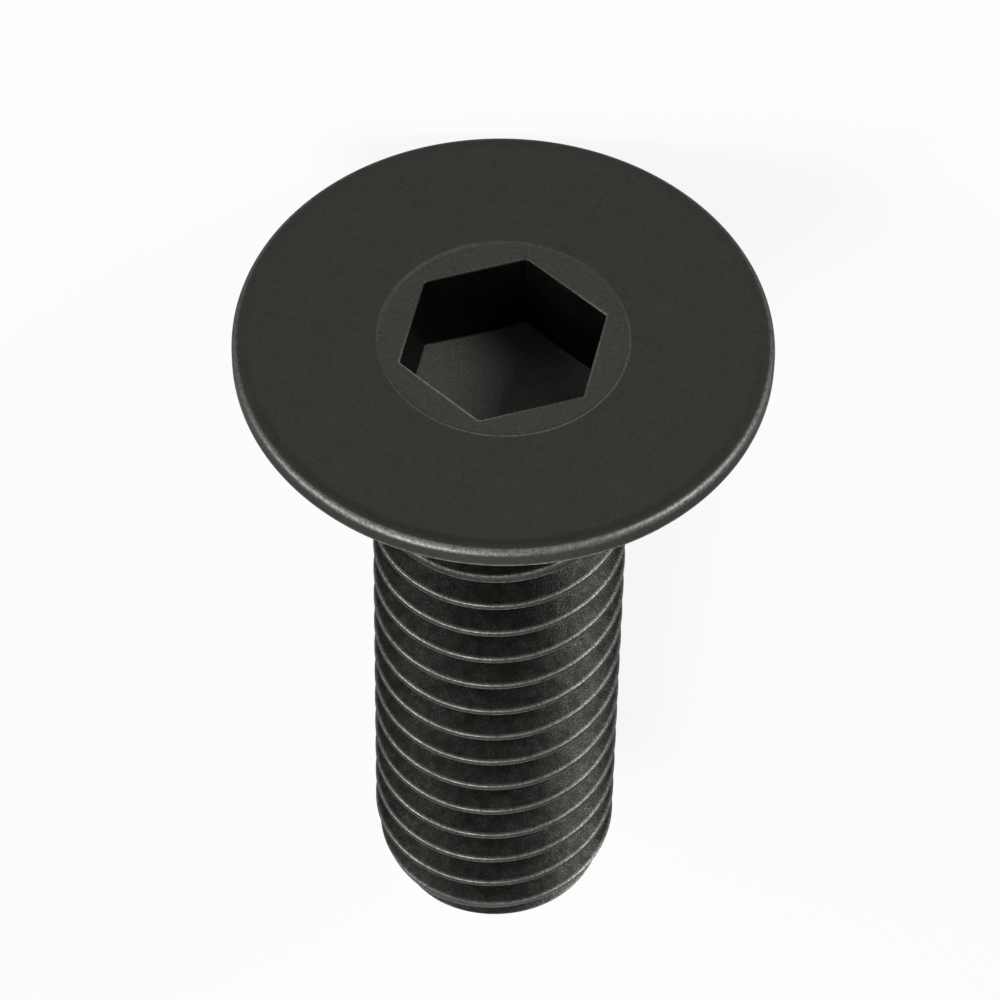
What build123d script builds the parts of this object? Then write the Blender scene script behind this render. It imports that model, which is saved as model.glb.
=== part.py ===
import os
from math import atan, cos, degrees, radians, sin, sqrt, tan

from build123d import *

# Countersunk screw with a hexagon socket, M6 coarse thread, one forged and rolled piece of steel.
# Sizes are in millimetres and angles in degrees.

# Head
head_diameter = 11.8
rim_height = 0.45
rim_rounding = 0.15
countersink_angle = 90.0
neck_fillet = 0.25

# Hexagon socket, and the shallow round mark that its punch leaves around it
socket_width = 4.05
socket_wall_depth = 2.2
socket_centre_depth = 2.5
socket_edge_break = 0.05
socket_turn = 18.0
punch_mark_diameter = 5.44
punch_mark_depth = 0.03

# Shank and its end
overall_length = 18.72
neck_length = 0.5
neck_step = 0.3
end_step = 0.29
end_taper_length = 1.0
last_crest_setback = 0.2
spare_length = 2.5
trim_clearance = 1.0

# Thread
thread_diameter = 5.76
thread_depth = 0.565
thread_pitch = 1.0
thread_angle = 60.0
crest_flat = 0.125
start_angle = 45.0
runout_turns = 0.75
spare_turns = 2

# Places along the axis, measured from the top of the head
head_radius = head_diameter / 2
thread_radius = thread_diameter / 2
root_radius = thread_radius - thread_depth
neck_radius = thread_radius - neck_step
end_radius = thread_radius - end_step
punch_mark_radius = punch_mark_diameter / 2
cone_end = rim_height + (head_radius - neck_radius) / tan(radians(countersink_angle / 2))
neck_end = cone_end + neck_length
thread_start = neck_end + neck_step / tan(radians(start_angle))
taper_start = overall_length - end_taper_length
last_crest_end = taper_start - last_crest_setback

# The thread is cut into a shank that is longer than the screw by a spare length, trimmed off later
blank_end = overall_length + spare_length
taper_slope = end_step / end_taper_length
trim_radius = thread_radius + trim_clearance

# Thread groove, which is cut past the surface of the shank by a clearance
groove_clearance = crest_flat / 2
groove_half_mouth = (thread_pitch - crest_flat) / 2
groove_half_root = groove_half_mouth - thread_depth * tan(radians(thread_angle / 2))
groove_half_top = groove_half_mouth + groove_clearance * tan(radians(thread_angle / 2))

# The last full crest ends a little before the taper, on the side of the shank that lies on the floor.
# That side is a quarter turn back from the plane in which the groove's section is drawn.
last_groove = -last_crest_end + crest_flat / 2 - thread_pitch / 2 + thread_pitch / 4
groove_start = last_groove - spare_turns * thread_pitch
groove_turns = int((-thread_start - groove_start) / thread_pitch)
groove_end = groove_start + groove_turns * thread_pitch
runout_height = runout_turns * thread_pitch
runout_angle = degrees(atan(thread_depth / runout_height))

# Section of the groove, in a plane through the axis
with BuildSketch(Plane.XZ) as groove_section:
    with BuildLine():
        Polyline(
            (root_radius, -groove_half_root),
            (thread_radius + groove_clearance, -groove_half_top),
            (thread_radius + groove_clearance, groove_half_top),
            (root_radius, groove_half_root),
            close=True,
        )
    make_face()

# One turn of the groove, and its shallower and shallower run-out towards the neck
with BuildPart() as groove_turn:
    with BuildLine() as turn_path:
        Helix(thread_pitch, thread_pitch, thread_radius)
    sweep(groove_section.sketch, turn_path.line, is_frenet=True)

with BuildPart() as groove_runout:
    with BuildLine() as runout_path:
        Helix(thread_pitch, runout_height, thread_radius, cone_angle=runout_angle)
    sweep(groove_section.sketch, runout_path.line, is_frenet=True)

# Socket: a hexagonal hole whose floor is a shallow cone
socket_corner_radius = socket_width / sqrt(3)
with BuildPart() as socket:
    with BuildSketch(Plane.XZ):
        with BuildLine():
            Polyline(
                (0, 0),
                (socket_corner_radius, 0),
                (socket_corner_radius, -socket_wall_depth),
                (0, -socket_centre_depth),
                close=True,
            )
        make_face()
    revolve(axis=Axis.Z)
    with BuildSketch(Plane.XY):
        RegularPolygon(socket_width / 2, 6, major_radius=False, rotation=socket_turn)
    extrude(amount=-socket_centre_depth, mode=Mode.INTERSECT)

# Screw, upright, with the top of its head at the origin
with BuildPart() as upright_screw:
    with BuildSketch(Plane.XZ) as half_section:
        with BuildLine():
            Polyline(
                (0, -punch_mark_depth),
                (punch_mark_radius, -punch_mark_depth),
                (punch_mark_radius, 0),
                (head_radius, 0),
                (head_radius, -rim_height),
                (neck_radius, -cone_end),
                (neck_radius, -neck_end),
                (thread_radius, -thread_start),
                (thread_radius, -blank_end),
                (0, -blank_end),
                close=True,
            )
        make_face()
        corners = half_section.vertices()
        fillet(corners.sort_by_distance((head_radius, 0))[0], radius=rim_rounding)
        fillet(corners.sort_by_distance((neck_radius, -cone_end))[0], radius=neck_fillet)
    revolve(axis=Axis.Z)
    add(socket.part, mode=Mode.SUBTRACT)
    punch_mark = upright_screw.faces().filter_by(Axis.Z).sort_by(Axis.Z)[-2]
    chamfer(punch_mark.inner_wires()[0].edges(), length=socket_edge_break)

    with Locations([(0, 0, groove_start + turn * thread_pitch) for turn in range(groove_turns)]):
        add(groove_turn.part, mode=Mode.SUBTRACT)
    with Locations((0, 0, groove_end)):
        add(groove_runout.part, mode=Mode.SUBTRACT)

    # Everything outside the tapered end and below it is trimmed off
    with BuildSketch(Plane.XZ):
        with BuildLine():
            Polyline(
                (-end_radius, -overall_length),
                (-trim_radius, -overall_length + (trim_radius - end_radius) / taper_slope),
                (-trim_radius, -blank_end - trim_clearance),
                (0, -blank_end - trim_clearance),
                (0, -overall_length),
                close=True,
            )
        make_face()
    revolve(axis=Axis.Z, mode=Mode.SUBTRACT)

# The screw lies on the lower edge of its rim and on its last full crest
lean = degrees(atan((head_radius - thread_radius) / (last_crest_end - rim_height)))
lean_cos = cos(radians(lean))
lean_sin = sin(radians(lean))
head_height = head_radius * lean_cos + rim_height * lean_sin
front_reach = rim_rounding * lean_cos - (head_radius - rim_rounding) * lean_sin - rim_rounding
back_reach = overall_length * lean_cos + end_radius * lean_sin
resting_place = Plane(
    origin=(0, -(front_reach + back_reach) / 2, head_height),
    x_dir=(1, 0, 0),
    z_dir=(0, -lean_cos, lean_sin),
)

with BuildPart() as screw:
    with Locations(resting_place.location):
        add(upright_screw.part)

screw.part.label = "screw"
os.makedirs("parts", exist_ok=True)
export_step(screw.part, "parts/screw.step")
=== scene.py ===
import math

import bmesh
import bpy
from mathutils import Matrix, Vector


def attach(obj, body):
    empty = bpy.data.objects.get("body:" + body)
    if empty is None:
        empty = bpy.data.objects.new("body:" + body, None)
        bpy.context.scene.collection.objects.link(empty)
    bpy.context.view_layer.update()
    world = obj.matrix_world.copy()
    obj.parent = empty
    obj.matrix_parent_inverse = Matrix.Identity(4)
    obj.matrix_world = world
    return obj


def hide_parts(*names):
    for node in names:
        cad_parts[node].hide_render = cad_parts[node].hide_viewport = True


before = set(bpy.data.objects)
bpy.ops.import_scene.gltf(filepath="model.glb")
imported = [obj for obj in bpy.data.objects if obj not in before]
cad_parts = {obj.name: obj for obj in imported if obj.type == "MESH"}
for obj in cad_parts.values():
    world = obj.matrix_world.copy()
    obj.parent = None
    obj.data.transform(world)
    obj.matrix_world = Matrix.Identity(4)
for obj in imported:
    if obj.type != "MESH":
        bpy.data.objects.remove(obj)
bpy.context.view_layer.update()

print("frame loaded")


def linearColor(code):
    parts = [int(code[i:i + 2], 16) / 255 for i in (1, 3, 5)]
    return tuple(p / 12.92 if p <= 0.04045 else ((p + 0.055) / 1.055) ** 2.4 for p in parts) + (1.0,)


def addNode(tree, kind, settings=None, inputs=None):
    node = tree.nodes.new(kind)
    for name, value in (settings or {}).items():
        setattr(node, name, value)
    for key, value in (inputs or {}).items():
        if isinstance(value, bpy.types.NodeSocket):
            tree.links.new(value, node.inputs[key])
        else:
            node.inputs[key].default_value = value
    return node


# Screw: sizes in millimetres, measured from the top of the head, with the axis along Z
screw = {
    "headRadius": 5.9,
    "rimHeight": 0.45,
    "rimRounding": 0.15,
    "rimDullingStart": 5.5,
    "rimDulling": 2.0,
    "rimFirstBend": 7.6,
    "rimEdgeRounding": 0.04,
    "neckFillet": 0.10,
    "neckJoin": 0.02,
    "socketWidth": 4.05,
    "socketCornerRounding": 0.10,
    "wallDepth": 2.2,
    "centreDepth": 2.5,
    "edgeBreak": 0.05,
    "socketTurn": 18.0,
    "punchRadius": 2.72,
    "punchDepth": 0.03,
    "punchStep": 0.035,
    "punchStepReach": 0.06,
    "length": 18.72,
    "neckLength": 0.1,
    "threadRadius": 2.88,
    "neckStep": 0.3,
    "endStep": 0.29,
    "endTaperLength": 1.0,
    "contactSetback": 0.2,
    "endBreak": 0.03,
    "threadDepth": 0.565,
    "pitch": 1.0,
    "crestFlat": 0.125,
    "runoutTurns": 0.75,
    "spareTurns": 2,
    "columns": 240,
    "tolerance": 0.0001,
    "weldDistance": 0.0008,
    "shortestEdge": 0.00005,
    "sharpAngle": 32,
}

# The neck, the two ends of the thread and the groove follow from those sizes
neckRadius = screw["threadRadius"] - screw["neckStep"]
endRadius = screw["threadRadius"] - screw["endStep"]
rootRadius = screw["threadRadius"] - screw["threadDepth"]
coneEnd = screw["rimHeight"] + screw["headRadius"] - neckRadius
neckEnd = coneEnd + screw["neckLength"]
joinHeight = -neckEnd + screw["neckJoin"]
taperStart = screw["length"] - screw["endTaperLength"]
taperSlope = screw["endStep"] / screw["endTaperLength"]
contactPlace = taperStart - screw["contactSetback"]
flankSlope = math.tan(math.radians(30))
rootHalf = (screw["pitch"] - screw["crestFlat"]) / 2 - screw["threadDepth"] * flankSlope
lastGroove = -contactPlace + screw["crestFlat"] / 2 - screw["pitch"] / 4
firstGroove = lastGroove - screw["spareTurns"] * screw["pitch"]
fullTurns = int((-neckEnd - screw["neckStep"] - firstGroove) / screw["pitch"])
runoutStart = firstGroove + fullTurns * screw["pitch"]

# The screw lies on the lower edge of its rim and on its last full crest
lean = math.atan((screw["headRadius"] - screw["threadRadius"]) / (contactPlace - screw["rimHeight"]))
leanCos, leanSin = math.cos(lean), math.sin(lean)
headHeight = screw["headRadius"] * leanCos + screw["rimHeight"] * leanSin
frontReach = screw["rimRounding"] * (leanCos - 1) - (screw["headRadius"] - screw["rimRounding"]) * leanSin
backReach = screw["length"] * leanCos + endRadius * leanSin
headCentre = Vector((0, -(frontReach + backReach) / 2, headHeight))
acrossAxis = Vector((1, 0, 0))
upAxis = Vector((0, leanSin, leanCos))
headAxis = Vector((0, -leanCos, leanSin))
lying = Matrix.Translation(headCentre) @ Matrix((acrossAxis, upAxis, headAxis)).transposed().to_4x4()
metres = 0.001
lying = Matrix.Scale(metres, 4) @ lying

# Black-oxide steel: a thin dark oxide on steel, satin and finely grained. Its grain breaks up the
# highlights, and bare steel shows lighter where edges and thread crests have rubbed.
# A noise scale is its features in a metre, so the grain is 0.07 mm, the mottling 0.35 mm, and the
# thread's speckle 0.03 mm in clusters of 0.25 mm.
oxide = {
    "patternShift": (0.011, 0.007, 0.003),
    "grain": {"Scale": 14000.0, "Detail": 3.0, "Roughness": 0.65},
    "mottle": {"Scale": 2800.0, "Detail": 4.0, "Roughness": 0.6},
    "speckle": {"Scale": 36000.0, "Detail": 2.0, "Roughness": 0.6},
    "cluster": {"Scale": 4000.0, "Detail": 3.0, "Roughness": 0.6},
    "headTones": ("#30302e", "#373734"),
    "mottledTone": "#3c3c39",
    "mottling": 0.35,
    "threadTones": ("#181817", "#20201e"),
    "speckleTone": "#3a3a37",
    "speckling": 0.8,
    "pressedTone": "#42423f",
    "socketFloorTones": ("#434340", "#5c5c58"),
    # Tone of the painted shade on the socket's floor and before the rim
    "paintedShadeTone": "#161615",
    # Bare steel, which also makes the painted highlights on the head's edges
    "bareTone": "#9c9a96",
    "grazingTint": "#cbcbcb",
    "roughness": (0.44, 0.52),
    "threadRoughening": -0.14,
    "socketFloorRoughening": 0.1,
    "bumpDepth": 0.00002,
    "grainBump": 0.25,
    "speckleBump": 0.3,
}
steel = bpy.data.materials.new("blackOxideSteel")
steel.use_nodes = True
steelTree = steel.node_tree
steelTree.nodes.clear()
steelOutput = addNode(steelTree, "ShaderNodeOutputMaterial")
coords = addNode(steelTree, "ShaderNodeTexCoord").outputs["Object"]
centring = {"Vector": coords, "Location": oxide["patternShift"]}
placed = addNode(steelTree, "ShaderNodeMapping", inputs=centring).outputs["Vector"]


def noise(name):
    return addNode(steelTree, "ShaderNodeTexNoise", inputs={"Vector": placed, **oxide[name]}).outputs["Fac"]


def painted(name):
    return addNode(steelTree, "ShaderNodeAttribute", {"attribute_name": name}).outputs["Fac"]


def levels(value, low, high, first, last):
    ranges = {"Value": value, "From Min": low, "From Max": high, "To Min": first, "To Max": last}
    return addNode(steelTree, "ShaderNodeMapRange", inputs=ranges).outputs["Result"]


def blend(share, first, second):
    shares = {0: share, 6: first, 7: second}
    return addNode(steelTree, "ShaderNodeMix", {"data_type": "RGBA"}, shares).outputs[2]


def patterned(share, tones):
    return blend(share, linearColor(tones[0]), linearColor(tones[1]))


def product(first, second):
    return addNode(steelTree, "ShaderNodeMath", {"operation": "MULTIPLY"}, {0: first, 1: second}).outputs[0]


def raised(share, amount, start):
    values = {0: share, 1: amount, 2: start}
    return addNode(steelTree, "ShaderNodeMath", {"operation": "MULTIPLY_ADD"}, values).outputs[0]


grain = noise("grain")
mottle = noise("mottle")
speckle = noise("speckle")
cluster = noise("cluster")
# Real rubbed wear, with painted shade below zero and painted highlights on the head's edges above it
wear = painted("wearAndPaintedLight")
pressedShare = painted("pressedFace")
rolledShare = painted("rolledFace")
floorShare = painted("socketFloor")

# The head, the rolled thread, the punch's mark and the forged floor of the socket differ in tone
headTone = patterned(levels(grain, 0.35, 0.65, 0.0, 1.0), oxide["headTones"])
mottling = levels(mottle, 0.3, 0.7, 0.0, oxide["mottling"])
mottledTone = blend(mottling, headTone, linearColor(oxide["mottledTone"]))
threadTone = patterned(levels(grain, 0.35, 0.65, 0.0, 1.0), oxide["threadTones"])
clustered = levels(cluster, 0.35, 0.65, 0.0, oxide["speckling"])
speckling = product(levels(speckle, 0.42, 0.62, 0.0, 1.0), clustered)
sandyTone = blend(speckling, threadTone, linearColor(oxide["speckleTone"]))
rolledTone = blend(rolledShare, mottledTone, sandyTone)
pressing = product(pressedShare, levels(grain, 0.36, 0.64, 0.25, 0.75))
pressedTone = blend(pressing, rolledTone, linearColor(oxide["pressedTone"]))
forgedTone = patterned(levels(speckle, 0.38, 0.62, 0.0, 1.0), oxide["socketFloorTones"])
cleanTone = blend(floorShare, pressedTone, forgedTone)

# Wear below zero is painted shade. Above zero, bare steel comes through the grain as real wear, and on the
# rim, the mark's edge and the mouth's edge partly as painted highlight
paintedShadeTone = blend(levels(wear, -1.0, 0.0, 1.0, 0.0), cleanTone, linearColor(oxide["paintedShadeTone"]))
wearAndHighlightShare = product(levels(wear, 0.0, 1.0, 0.0, 1.0), levels(grain, 0.35, 0.62, 0.3, 0.85))
steelTone = blend(wearAndHighlightShare, paintedShadeTone, linearColor(oxide["bareTone"]))

# The forged floor of the socket is dull, and the rolled thread is smoother than the head
headRoughness = levels(mottle, 0.3, 0.7, *oxide["roughness"])
rolledRoughness = raised(rolledShare, oxide["threadRoughening"], headRoughness)
steelRoughness = raised(floorShare, oxide["socketFloorRoughening"], rolledRoughness)
metalShare = levels(floorShare, 0.0, 1.0, 1.0, 0.0)
bump = {"Height": grain, "Strength": oxide["grainBump"], "Distance": oxide["bumpDepth"]}
grainNormal = addNode(steelTree, "ShaderNodeBump", inputs=bump).outputs["Normal"]
bump = {
    "Height": product(rolledShare, speckle),
    "Strength": oxide["speckleBump"],
    "Distance": oxide["bumpDepth"],
    "Normal": grainNormal,
}
steelNormal = addNode(steelTree, "ShaderNodeBump", inputs=bump).outputs["Normal"]
steelShader = addNode(
    steelTree,
    "ShaderNodeBsdfPrincipled",
    inputs={
        "Specular IOR Level": 0.0,
        "Specular Tint": linearColor(oxide["grazingTint"]),
        "Base Color": steelTone,
        "Metallic": metalShare,
        "Roughness": steelRoughness,
        "Normal": steelNormal,
    },
)
steelTree.links.new(steelShader.outputs["BSDF"], steelOutput.inputs["Surface"])
print("material made")

# Thread: a grid whose rows follow the helix from the end of the screw up into the neck.
# Each row's place says where it stands in the section: 0 is the middle of the root, 1 its edge,
# 2 the edge of the crest and 3 the middle of the crest, with a minus below the root.
# Wear is a share of full rubbing, and its reach is in places.
thread = {
    "places": [
        -3, -2.5, -2.2, -2, -1.95, -1.87, -1.5, -1.15, -1, -0.6,
        0, 0.6, 1, 1.15, 1.5, 1.87, 1.95, 2, 2.2, 2.5,
    ],
    "turns": 17,
    "crestRounding": 0.035,
    "rootRounding": 0.12,
    "crestSeam": 0.012,
    "crestSeamHalf": 0.04,
    "taperRounding": 0.03,
    "endRounding": 0.04,
    "tipFadeStart": 18.3,
    "tipFadeLength": 0.4,
    "tipFadeRise": 0.22,
    "leastClimb": 0.05,
    "weldDistance": 0.0005,
    "wear": 0.8,
    "wearOfSides": 0.15,
    "wearReachOnFlank": 0.08,
    "wearFallOnCrest": 1.7,
    "leastWearOnCrest": 0.22,
    "wearStartBelowNeck": 0.2,
    "wearFadeBeforeTip": 0.5,
    "wearFadeSlope": 3.0,
    "wearLostAtTip": 0.65,
    "wearAddedAtTip": 0.08,
}

threadRule = bpy.data.node_groups.new("threadRule", "GeometryNodeTree")
threadInputs = {
    "Columns": ("NodeSocketInt", screw["columns"]),
    "Rows In A Turn": ("NodeSocketInt", len(thread["places"])),
    "Turns": ("NodeSocketInt", thread["turns"]),
    "Pitch": ("NodeSocketFloat", screw["pitch"]),
    "First Groove": ("NodeSocketFloat", firstGroove),
    "Crest Radius": ("NodeSocketFloat", screw["threadRadius"]),
    "Root Radius": ("NodeSocketFloat", rootRadius),
    "Root Half Width": ("NodeSocketFloat", rootHalf),
    "Flank Slope": ("NodeSocketFloat", flankSlope),
    "Neck Radius": ("NodeSocketFloat", neckRadius),
    "Neck End": ("NodeSocketFloat", -neckEnd),
    "Top": ("NodeSocketFloat", joinHeight),
    "End": ("NodeSocketFloat", -screw["length"]),
    "Taper Start": ("NodeSocketFloat", -taperStart),
    "Taper Slope": ("NodeSocketFloat", taperSlope),
    "End Radius": ("NodeSocketFloat", endRadius - screw["endBreak"]),
    "Runout Start": ("NodeSocketFloat", runoutStart),
    "Runout Length": ("NodeSocketFloat", screw["runoutTurns"] * screw["pitch"]),
    "Crest Rounding": ("NodeSocketFloat", thread["crestRounding"]),
    "Root Rounding": ("NodeSocketFloat", thread["rootRounding"]),
    "Crest Seam": ("NodeSocketFloat", thread["crestSeam"]),
    "Tip Fade Start": ("NodeSocketFloat", -thread["tipFadeStart"]),
    "Tip Fade Length": ("NodeSocketFloat", thread["tipFadeLength"]),
    "Tip Fade Rise": ("NodeSocketFloat", thread["tipFadeRise"]),
    "Material": ("NodeSocketMaterial", steel),
}
threadSockets = {}
for name, (kind, value) in threadInputs.items():
    threadSockets[name] = threadRule.interface.new_socket(name, in_out="INPUT", socket_type=kind)
threadRule.interface.new_socket("Geometry", in_out="OUTPUT", socket_type="NodeSocketGeometry")
given = addNode(threadRule, "NodeGroupInput").outputs


def calc(operation, *values):
    return addNode(threadRule, "ShaderNodeMath", {"operation": operation}, dict(enumerate(values))).outputs[0]


def plus(first, second):
    return calc("ADD", first, second)


def minus(first, second):
    return calc("SUBTRACT", first, second)


def times(first, second):
    return calc("MULTIPLY", first, second)


def over(first, second):
    return calc("DIVIDE", first, second)


def within(value, low, high):
    return calc("MINIMUM", calc("MAXIMUM", value, low), high)


rowCount = plus(times(given["Turns"], given["Rows In A Turn"]), 1.0)
lastRow = minus(rowCount, 1.0)
gridSizes = {
    "Size X": lastRow,
    "Size Y": given["Columns"],
    "Vertices X": rowCount,
    "Vertices Y": plus(given["Columns"], 1.0),
}
grid = addNode(threadRule, "GeometryNodeMeshGrid", inputs=gridSizes)
gridPoint = addNode(threadRule, "GeometryNodeInputPosition").outputs[0]
gridPlace = addNode(threadRule, "ShaderNodeSeparateXYZ", inputs={0: gridPoint}).outputs
row = calc("ROUND", plus(gridPlace["X"], over(lastRow, 2.0)))
column = calc("ROUND", plus(gridPlace["Y"], over(given["Columns"], 2.0)))
turn = calc("FLOOR", over(plus(row, 0.5), given["Rows In A Turn"]))
rowInTurn = minus(row, times(turn, given["Rows In A Turn"]))
share = over(column, given["Columns"])
angle = times(share, math.tau)

sectionPlace = addNode(threadRule, "GeometryNodeIndexSwitch", {"data_type": "FLOAT"})
while len(sectionPlace.index_switch_items) < len(thread["places"]):
    sectionPlace.index_switch_items.new()
threadRule.links.new(rowInTurn, sectionPlace.inputs["Index"])
for i, rowPlace in enumerate(thread["places"]):
    sectionPlace.inputs[i + 1].default_value = rowPlace
place = sectionPlace.outputs[0]
placeSize = calc("ABSOLUTE", place)
side = calc("SIGN", place)


def grooveMiddleOf(turns):
    return calc("MULTIPLY_ADD", plus(turns, share), given["Pitch"], given["First Groove"])


grooveMiddle = grooveMiddleOf(turn)
depth = minus(given["Crest Radius"], given["Root Radius"])


# Outside of the shank: it widens from the neck, tapers towards the end and has a broken edge there
def envelope(height):
    start = plus(given["Neck Radius"], minus(given["Neck End"], height))
    start = calc("MAXIMUM", start, given["Neck Radius"])
    fall = times(given["Taper Slope"], minus(given["Taper Start"], height))
    taper = minus(given["Crest Radius"], fall)
    end = plus(given["End Radius"], minus(height, given["End"]))
    shank = calc("MINIMUM", given["Crest Radius"], start)
    tapered = calc("SMOOTH_MIN", shank, taper, thread["taperRounding"])
    return calc("SMOOTH_MIN", tapered, end, thread["endRounding"])


# The run-out lifts the groove at the neck, and the groove's root isn't fully formed at the very end,
# where the blank is narrower
def lift(height):
    runout = over(minus(height, given["Runout Start"]), given["Runout Length"])
    fade = over(minus(given["Tip Fade Start"], height), given["Tip Fade Length"])
    tipRise = times(within(fade, 0.0, 1.0), given["Tip Fade Rise"])
    return plus(times(within(runout, 0.0, 2.0), depth), tipRise)


# The crest's edge is found in three rounds, because the outside narrows towards both ends
grooveLift = lift(grooveMiddle)
edgeHalf = plus(given["Root Half Width"], times(depth, given["Flank Slope"]))
for attempt in range(3):
    edgeRadius = envelope(plus(grooveMiddle, times(side, edgeHalf)))
    climb = minus(minus(edgeRadius, given["Root Radius"]), grooveLift)
    climb = calc("MAXIMUM", climb, thread["leastClimb"])
    edgeHalf = plus(given["Root Half Width"], times(climb, given["Flank Slope"]))
crestHalf = minus(over(given["Pitch"], 2.0), edgeHalf)
flankHalf = minus(edgeHalf, given["Root Half Width"])
rootPart = times(calc("MINIMUM", placeSize, 1.0), given["Root Half Width"])
flankPart = times(within(minus(placeSize, 1.0), 0.0, 1.0), flankHalf)
crestPart = times(calc("MAXIMUM", minus(placeSize, 2.0), 0.0), crestHalf)
offset = times(side, plus(rootPart, plus(flankPart, crestPart)))
height = within(plus(grooveMiddle, offset), given["End"], given["Top"])

# The radius comes from the height alone, so rows held at either end fall together there
turnsUp = minus(over(minus(height, given["First Groove"]), given["Pitch"]), share)
nearestGroove = calc("FLOOR", plus(turnsUp, 0.5))
fromGroove = times(calc("ABSOLUTE", minus(turnsUp, nearestGroove)), given["Pitch"])
flankRise = over(minus(fromGroove, given["Root Half Width"]), given["Flank Slope"])
flankRadius = plus(given["Root Radius"], flankRise)
grooveShape = calc("SMOOTH_MAX", given["Root Radius"], flankRadius, given["Root Rounding"])
grooveRadius = plus(grooveShape, lift(grooveMiddleOf(nearestGroove)))
fromCrest = minus(over(given["Pitch"], 2.0), fromGroove)
seamShape = calc("MAXIMUM", minus(1.0, over(fromCrest, thread["crestSeamHalf"])), 0.0)
radius = calc("SMOOTH_MIN", envelope(height), grooveRadius, given["Crest Rounding"])
radius = minus(radius, times(seamShape, given["Crest Seam"]))
atTop = calc("GREATER_THAN", height, minus(given["Top"], screw["tolerance"]))
radius = plus(times(radius, minus(1.0, atTop)), times(given["Neck Radius"], atTop))
rowPoint = addNode(
    threadRule,
    "ShaderNodeCombineXYZ",
    inputs={"X": times(radius, calc("COSINE", angle)), "Y": times(radius, calc("SINE", angle)), "Z": height},
).outputs[0]

# Rubbed bright where the section turns onto the crest, and less so in the last turn
onFlank = minus(1.0, over(minus(2.0, placeSize), thread["wearReachOnFlank"]))
onCrest = minus(1.0, times(minus(placeSize, 2.0), thread["wearFallOnCrest"]))
onCrest = calc("MAXIMUM", onCrest, thread["leastWearOnCrest"])
rubbed = calc("MAXIMUM", calc("MINIMUM", onFlank, onCrest), 0.0)
rubbed = times(rubbed, calc("MULTIPLY_ADD", side, thread["wearOfSides"], thread["wear"]))
fadeStart = plus(given["Tip Fade Start"], thread["wearFadeBeforeTip"])
nearTip = within(times(minus(fadeStart, height), thread["wearFadeSlope"]), 0.0, 1.0)
kept = minus(1.0, times(nearTip, thread["wearLostAtTip"]))
rubbed = plus(times(rubbed, kept), times(nearTip, thread["wearAddedAtTip"]))
belowNeck = calc("LESS_THAN", height, minus(given["Neck End"], thread["wearStartBelowNeck"]))


def stored(geometry, name, value):
    settings = {"data_type": "FLOAT", "domain": "POINT"}
    inputs = {"Geometry": geometry, "Name": name, "Value": value}
    return addNode(threadRule, "GeometryNodeStoreNamedAttribute", settings, inputs).outputs[0]


geometry = stored(grid.outputs["Mesh"], "wearAndPaintedLight", times(rubbed, belowNeck))
geometry = stored(geometry, "rolledFace", belowNeck)
for kind, inputs in (
    ("GeometryNodeSetPosition", {"Position": rowPoint}),
    ("GeometryNodeMergeByDistance", {"Distance": thread["weldDistance"]}),
    ("GeometryNodeRealizeInstances", {}),
    ("GeometryNodeSetMaterial", {"Material": given["Material"]}),
):
    geometry = addNode(threadRule, kind, inputs={"Geometry": geometry, **inputs}).outputs[0]
addNode(threadRule, "NodeGroupOutput", inputs={"Geometry": geometry})

threadHolder = bpy.data.objects.new("threadHolder", bpy.data.meshes.new("threadHolder"))
bpy.context.scene.collection.objects.link(threadHolder)
threadModifier = threadHolder.modifiers.new("threadRule", "NODES")
threadModifier.node_group = threadRule
for name, (kind, value) in threadInputs.items():
    threadModifier[threadSockets[name].identifier] = value
bpy.context.view_layer.update()
shapedHolder = threadHolder.evaluated_get(bpy.context.evaluated_depsgraph_get())
threadMesh = bpy.data.meshes.new_from_object(shapedHolder)
bpy.data.objects.remove(threadHolder)
print("thread made", len(threadMesh.vertices), "points")

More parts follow.
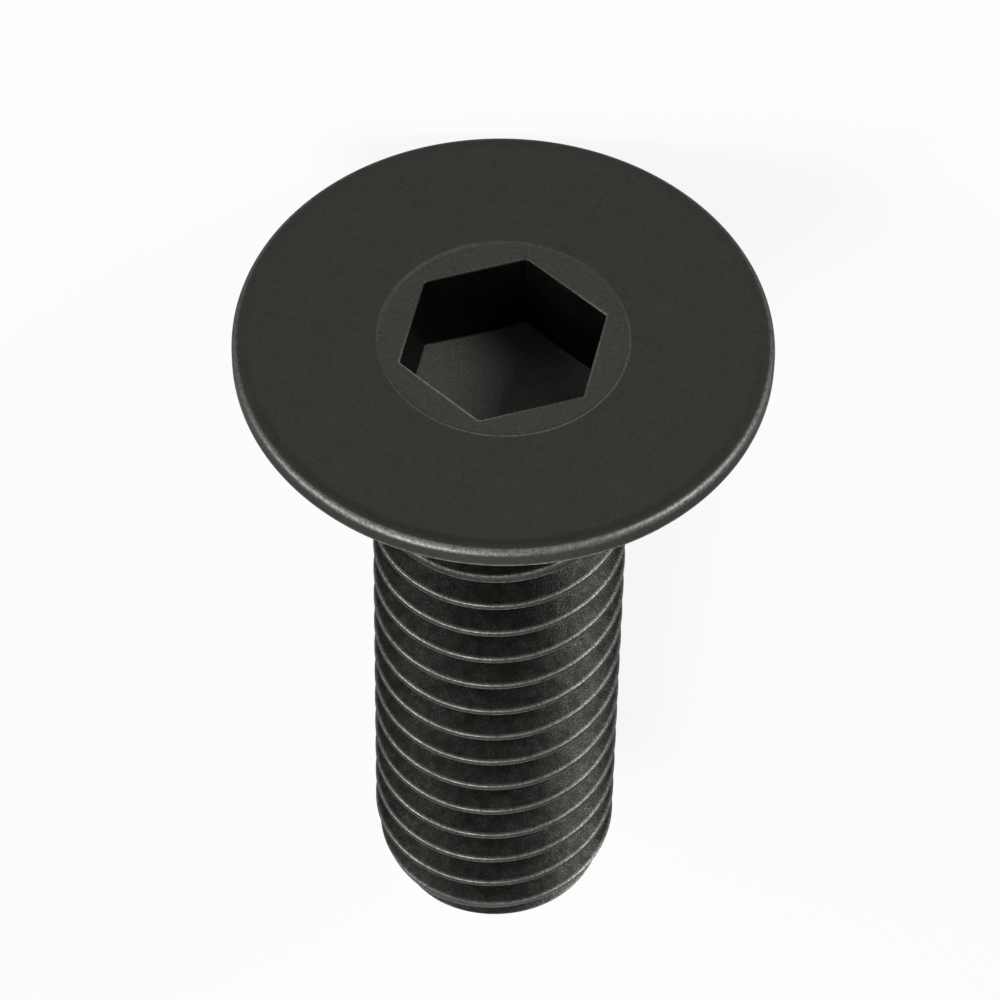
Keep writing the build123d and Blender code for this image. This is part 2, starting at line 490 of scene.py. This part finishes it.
# Head and socket: rings of points from the middle of the socket's floor out to the rim and down to
# the neck. Shares run from 0 at the first line of a face to 1 at its last. Places round the axis are
# in degrees: 0 is the photo's left, 90 its lower side and 180 its right. Rows give how far out and
# down a ring lies, and then its wear and its finish.
head = {
    "cornerColumns": 4,
    "floorShares": (0.04, 0.12, 0.25, 0.45, 0.65, 0.85, 0.96, 1.0),
    "floorPaintedShade": 0.95,
    "floorPaintedShadeStart": 20,
    "wallShares": (0.03, 0.2, 0.5, 0.8, 0.97),
    "wallSmoothness": 0.6,
    "mouthRows": (
        (0, 1, 0.1, 0, 0.6), (0.12, 0.62, 0.5, 0, 0.6), (0.38, 0.28, 0.8, 0, 0.6),
        (0.7, 0.08, 1, 0.5, 0), (1, 0, 0.4, 0.5, 0),
    ),
    "mouthWearAndHighlight": ((55, 1), (165, 0.35)),
    "leastMouthWear": 0.02,
    "markShares": (0.08, 0.3, 0.6, 0.85, 0.97),
    "markEdgeRows": (
        (-1.6, 1, 0, 1), (-0.4, 0.6, 0, 0.8), (0.4, 0.1, 0.2, 0.5),
        (0.9, 0, 1, 0.2), (1.4, 0.02, 0.2, 0), (2.2, 0, 0, 0),
    ),
    "markEdgeWear": 0.12,
    "markEdgePaintedHighlight": 0.3,
    "markEdgePaintedHighlightPlace": 115,
    "topRadii": (3.2, 4.0, 4.8, 5.3),
    "rimShares": (0, 0.25, 0.5, 0.75, 1),
    "rimPaintedShade": 1.6,
    "rimPaintedShadeLeast": 0.15,
    "rimPaintedShadeFront": 0.75,
    "rimRings": 9,
    "rimWear": 0.06,
    "rimBand": 0.2,
    "rimPaintedHighlights": ((70, 1.6), (149, 1.0)),
    "rimSideRows": ((-0.22, 0.05), (-0.32, 0.04), (-0.39, 0.06)),
    "rimEdgeWear": (0.6, 0.9, 0.3),
    "coneShares": (0.02, 0.1, 0.3, 0.55, 0.8, 1.0),
    "filletRings": 4,
    "endShares": (0.93, 0.7, 0.4, 0.15),
}
columns = screw["columns"]
columnAngles = [math.tau * i / columns for i in range(columns)]
rings = []


def addRing(points, rubbing=0, pressing=0, rolling=0, forging=0):
    rubbing = rubbing if isinstance(rubbing, list) else [rubbing] * columns
    rings.append((points, rubbing, pressing, rolling, forging))


def circleRing(radius, height):
    return [(radius * math.cos(a), radius * math.sin(a), height) for a in columnAngles]


def hexRing(width, height=0.0):
    # Columns on each side of a corner share its rounding
    perSide, perCorner = columns // 6, head["cornerColumns"]
    rounding = screw["socketCornerRounding"]
    firstCorner = round(screw["socketTurn"] / 360 * columns)
    straight = (width / 2 - rounding) * math.tan(math.radians(30))
    points = []
    for i in range(columns):
        side, step = divmod(i - firstCorner, perSide)
        step -= perSide / 2
        bend = max(0, abs(step) - perSide / 2 + perCorner) / perCorner * math.radians(30)
        along = min(abs(step) / (perSide / 2 - perCorner), 1) * straight + rounding * math.sin(bend)
        out = width / 2 - rounding + rounding * math.cos(bend)
        along = math.copysign(along, step)
        facing = math.radians(screw["socketTurn"] + 30 + 60 * side)
        x = out * math.cos(facing) - along * math.sin(facing)
        y = out * math.sin(facing) + along * math.cos(facing)
        points.append((x, y, height))
    return points


def floorRing(share):
    rise = (screw["centreDepth"] - screw["wallDepth"]) / (screw["socketWidth"] / math.sqrt(3))
    points = [(x * share, y * share) for x, y, z in hexRing(screw["socketWidth"])]
    return [(x, y, -screw["centreDepth"] + rise * math.hypot(x, y)) for x, y in points]


# Painted shade darkens the front of the socket's floor
paintedShadeStart = math.radians(head["floorPaintedShadeStart"])
for share in head["floorShares"]:
    paintedShade = [-head["floorPaintedShade"] * share * max(0, math.sin(a - paintedShadeStart)) for a in columnAngles]
    addRing(floorRing(share), paintedShade, forging=1)
floorEdge = rings[-1][0]
wallTop = -screw["punchDepth"] - screw["edgeBreak"]
for share in head["wallShares"]:
    wall = [(x, y, z + (wallTop - z) * share) for x, y, z in floorEdge]
    addRing(wall, rolling=head["wallSmoothness"])

# The mouth's edge is rubbed a little all round, with a painted highlight on two sides
mouthWearAndHighlight = []
for a in columnAngles:
    worn = [amount * math.cos(a - math.radians(middle)) ** 3 for middle, amount in head["mouthWearAndHighlight"]]
    mouthWearAndHighlight.append(max(head["leastMouthWear"], *worn))
for out, down, rubbing, pressing, rolling in head["mouthRows"]:
    width = screw["socketWidth"] + 2 * screw["edgeBreak"] * out
    points = hexRing(width, -screw["punchDepth"] - screw["edgeBreak"] * down)
    addRing(points, [rubbing * worn for worn in mouthWearAndHighlight], pressing, rolling)
mouth = hexRing(screw["socketWidth"] + 2 * screw["edgeBreak"])
markRadius = screw["punchRadius"] - screw["punchStepReach"]
for share in head["markShares"]:
    ring = []
    for (x, y, z), a in zip(mouth, columnAngles):
        target = markRadius * math.cos(a), markRadius * math.sin(a)
        ring.append((x + (target[0] - x) * share, y + (target[1] - y) * share, -screw["punchDepth"]))
    addRing(ring, 0, 1)
# The mark's edge is rubbed a little all round, with a painted highlight on one side
paintedHighlightPlace = math.radians(head["markEdgePaintedHighlightPlace"])
edgeWearAndHighlight = []
for a in columnAngles:
    edgeWearAndHighlight.append(head["markEdgeWear"] + head["markEdgePaintedHighlight"] * max(0, math.cos(a - paintedHighlightPlace)))
for out, down, rubbing, pressing in head["markEdgeRows"]:
    points = circleRing(screw["punchRadius"] + screw["punchStep"] * out, -screw["punchDepth"] * down)
    addRing(points, [rubbing * worn for worn in edgeWearAndHighlight], pressing)
for radius in head["topRadii"]:
    addRing(circleRing(radius, 0))

# The top falls away a little before its edge, and the edge itself is tightly rounded
rounding = screw["rimRounding"]
rimCentre = screw["headRadius"] - rounding
firstBend = math.radians(screw["rimFirstBend"])
dullingRun = rimCentre + rounding * math.sin(firstBend) - screw["rimDullingStart"]
# Painted shade darkens the fall before the edge, most at the front
frontPaintedShade = [head["rimPaintedShadeLeast"] + head["rimPaintedShadeFront"] * max(0, math.sin(a)) for a in columnAngles]
for share in head["rimShares"]:
    run = dullingRun * share
    paintedShade = -head["rimPaintedShade"] * share * (1 - share)
    points = circleRing(screw["rimDullingStart"] + run, -run ** 2 / 2 / screw["rimDulling"])
    addRing(points, [paintedShade * front for front in frontPaintedShade])
rimStart = -dullingRun ** 2 / 2 / screw["rimDulling"] - rounding * math.cos(firstBend)
# The rounding's rubbed band gets painted highlights on two sides
paintedRimHighlights = []
for a in columnAngles:
    facing = [amount * max(0, math.cos(a - math.radians(middle))) ** 6 for middle, amount in head["rimPaintedHighlights"]]
    paintedRimHighlights.append(1 + sum(facing))
for i in range(1, head["rimRings"] + 1):
    bend = firstBend + (math.pi / 2 - firstBend) * i / head["rimRings"]
    band = max(0, math.sin(2 * bend)) * head["rimBand"]
    points = circleRing(rimCentre + rounding * math.sin(bend), rimStart + rounding * math.cos(bend))
    addRing(points, [head["rimWear"] + band * paintedRimHighlight for paintedRimHighlight in paintedRimHighlights])
for height, rubbing in head["rimSideRows"]:
    addRing(circleRing(screw["headRadius"], height), rubbing)
tangent = screw["rimEdgeRounding"] * math.tan(math.radians(22.5))
for inward, down, rubbing in zip((0, 0.3, 1), (-1, 0.3, 1), head["rimEdgeWear"]):
    points = circleRing(screw["headRadius"] - tangent * inward, -screw["rimHeight"] - tangent * down)
    addRing(points, rubbing)
filletTangent = screw["neckFillet"] * math.tan(math.radians(22.5))
coneRun = screw["headRadius"] - neckRadius - filletTangent * math.sqrt(0.5)
for share in head["coneShares"]:
    run = tangent + (coneRun - tangent) * share
    addRing(circleRing(screw["headRadius"] - run, -screw["rimHeight"] - run))
for i in range(1, head["filletRings"] + 1):
    bend = math.radians(45) * (1 - i / head["filletRings"])
    radius = neckRadius + screw["neckFillet"] * (1 - math.cos(bend))
    addRing(circleRing(radius, -coneEnd - filletTangent + screw["neckFillet"] * math.sin(bend)))
addRing(circleRing(neckRadius, joinHeight))

body = bmesh.new()
body.from_mesh(threadMesh)
layers = body.verts.layers.float
wearAndLightLayer = layers.get("wearAndPaintedLight")
rolledLayer = layers.get("rolledFace")
pressedLayer = layers.new("pressedFace")
floorLayer = layers.new("socketFloor")


def bridge(first, second):
    for i in range(columns):
        body.faces.new((first[i - 1], first[i], second[i], second[i - 1]))


def closeWithPole(ring, point, forging=0):
    pole = body.verts.new(point)
    pole[floorLayer] = forging
    for i in range(columns):
        body.faces.new((ring[i - 1], ring[i], pole))


last = None
for points, rubbing, pressing, rolling, forging in rings:
    ring = [body.verts.new(point) for point in points]
    for vert, worn in zip(ring, rubbing):
        vert[wearAndLightLayer] = worn
        vert[pressedLayer] = pressing
        vert[rolledLayer] = rolling
        vert[floorLayer] = forging
    if last:
        bridge(last, ring)
    else:
        closeWithPole(ring, (0, 0, -screw["centreDepth"]), 1)
    last = ring

# Flat face that closes the end
endVerts = [v for v in body.verts if v.co.z < -screw["length"] + screw["tolerance"]]
last = sorted(endVerts, key=lambda v: math.atan2(v.co.y, v.co.x) % math.tau)
endPoints = [v.co.copy() for v in last]
print("points on the end", len(last))
for share in head["endShares"]:
    ring = [body.verts.new((point.x * share, point.y * share, point.z)) for point in endPoints]
    bridge(last, ring)
    last = ring
closeWithPole(last, (0, 0, -screw["length"]))
bmesh.ops.remove_doubles(body, verts=body.verts, dist=screw["weldDistance"])
bmesh.ops.dissolve_degenerate(body, edges=body.edges, dist=screw["shortestEdge"])
bmesh.ops.recalc_face_normals(body, faces=body.faces)
for face in body.faces:
    face.smooth = True
openEdges = sum(1 for edge in body.edges if len(edge.link_faces) != 2)
print("open edges", openEdges, "faces", len(body.faces))
body.transform(lying)
screwMesh = bpy.data.meshes.new("screwBody")
body.to_mesh(screwMesh)
body.free()
screwMesh.materials.clear()
screwMesh.materials.append(steel)
screwMesh.polygons.foreach_set("material_index", [0] * len(screwMesh.polygons))
screwMesh.set_sharp_from_angle(angle=math.radians(screw["sharpAngle"]))
screwBody = bpy.data.objects.new("screwBody", screwMesh)
bpy.context.scene.collection.objects.link(screwBody)
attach(screwBody, "root")
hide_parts("screw")
print("screw made")

# Stage: a pale floor that keeps a soft shadow, in an even room that gives little light of its own.
# Both look white to the camera and in reflections.
stage = {
    "floorReach": 2.0,
    "floorTone": "#e2e2e2",
    "floorWhite": 0.9,
    "roomStrength": 0.1,
}


def seenRay(tree):
    path = addNode(tree, "ShaderNodeLightPath").outputs
    seen = path["Is Camera Ray"]
    for other in ("Is Glossy Ray", "Is Transmission Ray"):
        seen = addNode(tree, "ShaderNodeMath", {"operation": "MAXIMUM"}, {0: seen, 1: path[other]}).outputs[0]
    return seen


reach = stage["floorReach"]
floorCorners = [(-reach, -reach, 0), (reach, -reach, 0), (reach, reach, 0), (-reach, reach, 0)]
floorMesh = bpy.data.meshes.new("floor")
floorMesh.from_pydata(floorCorners, [], [(0, 1, 2, 3)])
floor = bpy.data.objects.new("floor", floorMesh)
bpy.context.scene.collection.objects.link(floor)
pale = bpy.data.materials.new("paleSheet")
pale.use_nodes = True
paleTree = pale.node_tree
paleTree.nodes.clear()
matt = addNode(paleTree, "ShaderNodeBsdfDiffuse", inputs={"Color": linearColor(stage["floorTone"])})
white = addNode(paleTree, "ShaderNodeEmission", inputs={"Color": (1, 1, 1, 1), "Strength": 1.0})
whiteParts = {0: seenRay(paleTree), 1: stage["floorWhite"]}
whiteShare = addNode(paleTree, "ShaderNodeMath", {"operation": "MULTIPLY"}, whiteParts).outputs[0]
paleParts = {0: whiteShare, 1: matt.outputs[0], 2: white.outputs[0]}
paleMix = addNode(paleTree, "ShaderNodeMixShader", inputs=paleParts)
addNode(paleTree, "ShaderNodeOutputMaterial", inputs={"Surface": paleMix.outputs[0]})
floorMesh.materials.append(pale)

world = bpy.data.worlds.new("room")
bpy.context.scene.world = world
world.use_nodes = True
worldTree = world.node_tree
worldTree.nodes.clear()
room = {"Color": (1, 1, 1, 1), "Strength": stage["roomStrength"]}
roomLight = addNode(worldTree, "ShaderNodeBackground", inputs=room)
seenWhite = addNode(worldTree, "ShaderNodeBackground", inputs={"Color": (1, 1, 1, 1), "Strength": 1.0})
worldParts = {0: seenRay(worldTree), 1: roomLight.outputs[0], 2: seenWhite.outputs[0]}
worldMix = addNode(worldTree, "ShaderNodeMixShader", inputs=worldParts)
addNode(worldTree, "ShaderNodeOutputWorld", inputs={"Surface": worldMix.outputs[0]})

# Lights: soft boxes in metres and watts. Each stands in a direction told for the screw turned upright
# as in the photo, with X to the right, Y away from the camera and Z out of the head.
lights = {
    "overhead": {"toward": (-0.40, -0.90, 0.12), "distance": 0.34, "size": 0.13, "power": 0.8},
    "right": {"toward": (0.72, -0.18, 0.66), "distance": 0.36, "size": 0.12, "power": 0.85},
    "behind": {"toward": (0.05, -0.25, -0.96), "distance": 0.34, "size": 0.14, "power": 0.12},
    "left": {"toward": (-0.88, -0.26, 0.38), "distance": 0.34, "size": 0.14, "power": 0.6},
}


def laidDown(vector):
    return -acrossAxis * vector[0] - upAxis * vector[1] + headAxis * vector[2]


for name, values in lights.items():
    data = bpy.data.lights.new(name, "AREA")
    data.shape = "SQUARE"
    data.size = values["size"]
    data.energy = values["power"]
    lamp = bpy.data.objects.new(name, data)
    direction = laidDown(values["toward"]).normalized()
    lamp.location = direction * values["distance"]
    lamp.rotation_euler = direction.to_track_quat("Z", "Y").to_euler()
    bpy.context.scene.collection.objects.link(lamp)

# Camera: it looks down on the lying screw along the line from which the photo shows it upright.
# The focal length is in pixels. Distances are in head radii, for the screw turned upright.
view = {
    "focal": 5120.5,
    "pixels": 1000,
    "sensor": 36.0,
    "elevation": 51.85,
    "roll": 1.14,
    "across": 0.0128,
    "down": -0.5985,
    "distance": 18.82,
    "clipStart": 0.005,
    "clipEnd": 10.0,
}
tilt, roll = math.radians(view["elevation"]), math.radians(view["roll"])
right = Vector((1, 0, 0))
down = Vector((0, -math.sin(tilt), -math.cos(tilt)))
ahead = Vector((0, math.cos(tilt), -math.sin(tilt)))
rolledRight = right * math.cos(roll) - down * math.sin(roll)
rolledDown = right * math.sin(roll) + down * math.cos(roll)
towardScrew = rolledRight * view["across"] + rolledDown * view["down"] + ahead * view["distance"]
cameraPlace = headCentre - laidDown(towardScrew) * screw["headRadius"]

cameraData = bpy.data.cameras.new("camera")
cameraData.sensor_width = view["sensor"]
cameraData.lens = view["focal"] * view["sensor"] / view["pixels"]
cameraData.clip_start = view["clipStart"]
cameraData.clip_end = view["clipEnd"]
camera = bpy.data.objects.new("camera", cameraData)
cameraAxes = Matrix((laidDown(rolledRight), -laidDown(rolledDown), -laidDown(ahead)))
camera.matrix_world = Matrix.Translation(cameraPlace * metres) @ cameraAxes.transposed().to_4x4()
bpy.context.scene.collection.objects.link(camera)
bpy.context.scene.camera = camera
bpy.context.scene.view_settings.view_transform = "Standard"
print("stage made")
